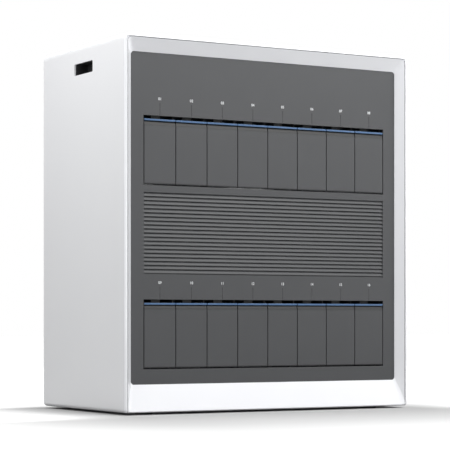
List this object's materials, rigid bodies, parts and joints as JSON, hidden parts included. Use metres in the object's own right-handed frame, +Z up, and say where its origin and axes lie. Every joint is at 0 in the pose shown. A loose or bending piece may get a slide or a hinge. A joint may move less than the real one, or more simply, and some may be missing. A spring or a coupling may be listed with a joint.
{
  "type": "molecular analyzer",
  "caption": "Benchtop analyzer in a white cabinet: dark recessed fascia, two rows of tilt-out cartridge bay doors with blue pull strips, louvred air intake between them.",
  "frame": {"origin": "on the bench under the middle of the footprint", "axes": "+X to the right seen from the front, +Y to the back, +Z up; the doors face -Y"},
  "size_m": [0.598, 0.333, 0.6618],
  "materials": {
    "white_shell": "satin",
    "white_bezel": "gloss",
    "dark_fascia": "matte",
    "dark_door": "matte",
    "blue_strip": "gloss",
    "status_light": "gloss",
    "filter_foam": "open foam",
    "black_plastic": "matte",
    "foot_rubber": "matte",
    "rear_paint": "fine texture",
    "plated_steel": "zinc plated",
    "bright_wire": "bright",
    "jack_metal": "bright",
    "bay_plastic": "matte",
    "steel_pin": "ground",
    "bed_plastic": "matte",
    "block_aluminium": "anodised",
    "circuit_board": "solder mask",
    "fan_plastic": "matte",
    "switch_plastic": "gloss"
  },
  "bodies": {
    "cabinet": {"cabinet_cover": "white_shell", "front_bezel": "white_bezel", "fascia": "dark_fascia", "intake_louvre": "dark_fascia", "air_filter": "filter_foam", "status_lights": "status_light", "handle_cups": "black_plastic", "base_pan": "plated_steel", "feet": "foot_rubber", "rear_panel": "rear_paint", "connector_panel": "rear_paint", "rear_screws": "plated_steel", "fan_frames": "black_plastic", "fan_guards": "bright_wire", "mains_inlet": "black_plastic", "network_jack": "jack_metal", "rack_frame": "plated_steel", "bay_floors": "plated_steel", "bay_dividers": "bay_plastic", "door_hinge_pins": "steel_pin", "cartridge_beds": "bed_plastic", "thermal_blocks": "block_aluminium", "drive_heads": "bay_plastic", "power_supply": "plated_steel", "controller_board": "circuit_board"},
    "door_body_01": {"door_01": "dark_door", "pull_strip_01": "blue_strip"},
    "door_body_02": {"door_02": "dark_door", "pull_strip_02": "blue_strip"},
    "door_body_03": {"door_03": "dark_door", "pull_strip_03": "blue_strip"},
    "door_body_04": {"door_04": "dark_door", "pull_strip_04": "blue_strip"},
    "door_body_05": {"door_05": "dark_door", "pull_strip_05": "blue_strip"},
    "door_body_06": {"door_06": "dark_door", "pull_strip_06": "blue_strip"},
    "door_body_07": {"door_07": "dark_door", "pull_strip_07": "blue_strip"},
    "door_body_08": {"door_08": "dark_door", "pull_strip_08": "blue_strip"},
    "door_body_09": {"door_09": "dark_door", "pull_strip_09": "blue_strip"},
    "door_body_10": {"door_10": "dark_door", "pull_strip_10": "blue_strip"},
    "door_body_11": {"door_11": "dark_door", "pull_strip_11": "blue_strip"},
    "door_body_12": {"door_12": "dark_door", "pull_strip_12": "blue_strip"},
    "door_body_13": {"door_13": "dark_door", "pull_strip_13": "blue_strip"},
    "door_body_14": {"door_14": "dark_door", "pull_strip_14": "blue_strip"},
    "door_body_15": {"door_15": "dark_door", "pull_strip_15": "blue_strip"},
    "door_body_16": {"door_16": "dark_door", "pull_strip_16": "blue_strip"},
    "left_fan": {"fan_rotor_left": "fan_plastic"},
    "right_fan": {"fan_rotor_right": "fan_plastic"},
    "rocker": {"power_switch": "switch_plastic"}
  },
  "joints": [
    {"name": "door_hinge_01", "type": "hinge", "parent": "cabinet", "child": "door_body_01", "pos_m": [-0.22155, -0.147, 0.4056], "axis": [1, 0, 0], "range_deg": [0, 85]},
    {"name": "door_hinge_02", "type": "hinge", "parent": "cabinet", "child": "door_body_02", "pos_m": [-0.15825, -0.147, 0.4056], "axis": [1, 0, 0], "range_deg": [0, 85]},
    {"name": "door_hinge_03", "type": "hinge", "parent": "cabinet", "child": "door_body_03", "pos_m": [-0.09495, -0.147, 0.4056], "axis": [1, 0, 0], "range_deg": [0, 85]},
    {"name": "door_hinge_04", "type": "hinge", "parent": "cabinet", "child": "door_body_04", "pos_m": [-0.03165, -0.147, 0.4056], "axis": [1, 0, 0], "range_deg": [0, 85]},
    {"name": "door_hinge_05", "type": "hinge", "parent": "cabinet", "child": "door_body_05", "pos_m": [0.03165, -0.147, 0.4056], "axis": [1, 0, 0], "range_deg": [0, 85]},
    {"name": "door_hinge_06", "type": "hinge", "parent": "cabinet", "child": "door_body_06", "pos_m": [0.09495, -0.147, 0.4056], "axis": [1, 0, 0], "range_deg": [0, 85]},
    {"name": "door_hinge_07", "type": "hinge", "parent": "cabinet", "child": "door_body_07", "pos_m": [0.15825, -0.147, 0.4056], "axis": [1, 0, 0], "range_deg": [0, 85]},
    {"name": "door_hinge_08", "type": "hinge", "parent": "cabinet", "child": "door_body_08", "pos_m": [0.22155, -0.147, 0.4056], "axis": [1, 0, 0], "range_deg": [0, 85]},
    {"name": "door_hinge_09", "type": "hinge", "parent": "cabinet", "child": "door_body_09", "pos_m": [-0.22155, -0.147, 0.0838], "axis": [1, 0, 0], "range_deg": [0, 85]},
    {"name": "door_hinge_10", "type": "hinge", "parent": "cabinet", "child": "door_body_10", "pos_m": [-0.15825, -0.147, 0.0838], "axis": [1, 0, 0], "range_deg": [0, 85]},
    {"name": "door_hinge_11", "type": "hinge", "parent": "cabinet", "child": "door_body_11", "pos_m": [-0.09495, -0.147, 0.0838], "axis": [1, 0, 0], "range_deg": [0, 85]},
    {"name": "door_hinge_12", "type": "hinge", "parent": "cabinet", "child": "door_body_12", "pos_m": [-0.03165, -0.147, 0.0838], "axis": [1, 0, 0], "range_deg": [0, 85]},
    {"name": "door_hinge_13", "type": "hinge", "parent": "cabinet", "child": "door_body_13", "pos_m": [0.03165, -0.147, 0.0838], "axis": [1, 0, 0], "range_deg": [0, 85]},
    {"name": "door_hinge_14", "type": "hinge", "parent": "cabinet", "child": "door_body_14", "pos_m": [0.09495, -0.147, 0.0838], "axis": [1, 0, 0], "range_deg": [0, 85]},
    {"name": "door_hinge_15", "type": "hinge", "parent": "cabinet", "child": "door_body_15", "pos_m": [0.15825, -0.147, 0.0838], "axis": [1, 0, 0], "range_deg": [0, 85]},
    {"name": "door_hinge_16", "type": "hinge", "parent": "cabinet", "child": "door_body_16", "pos_m": [0.22155, -0.147, 0.0838], "axis": [1, 0, 0], "range_deg": [0, 85]},
    {"name": "left_fan_spin", "type": "hinge", "parent": "cabinet", "child": "left_fan", "pos_m": [-0.135, 0.151, 0.315], "axis": [0, 1, 0], "continuous": true},
    {"name": "right_fan_spin", "type": "hinge", "parent": "cabinet", "child": "right_fan", "pos_m": [0.135, 0.151, 0.315], "axis": [0, 1, 0], "continuous": true},
    {"name": "rocker_tilt", "type": "hinge", "parent": "cabinet", "child": "rocker", "pos_m": [0.215, 0.1593, 0.074], "axis": [1, 0, 0], "range_deg": [0, 14]}
  ]
}
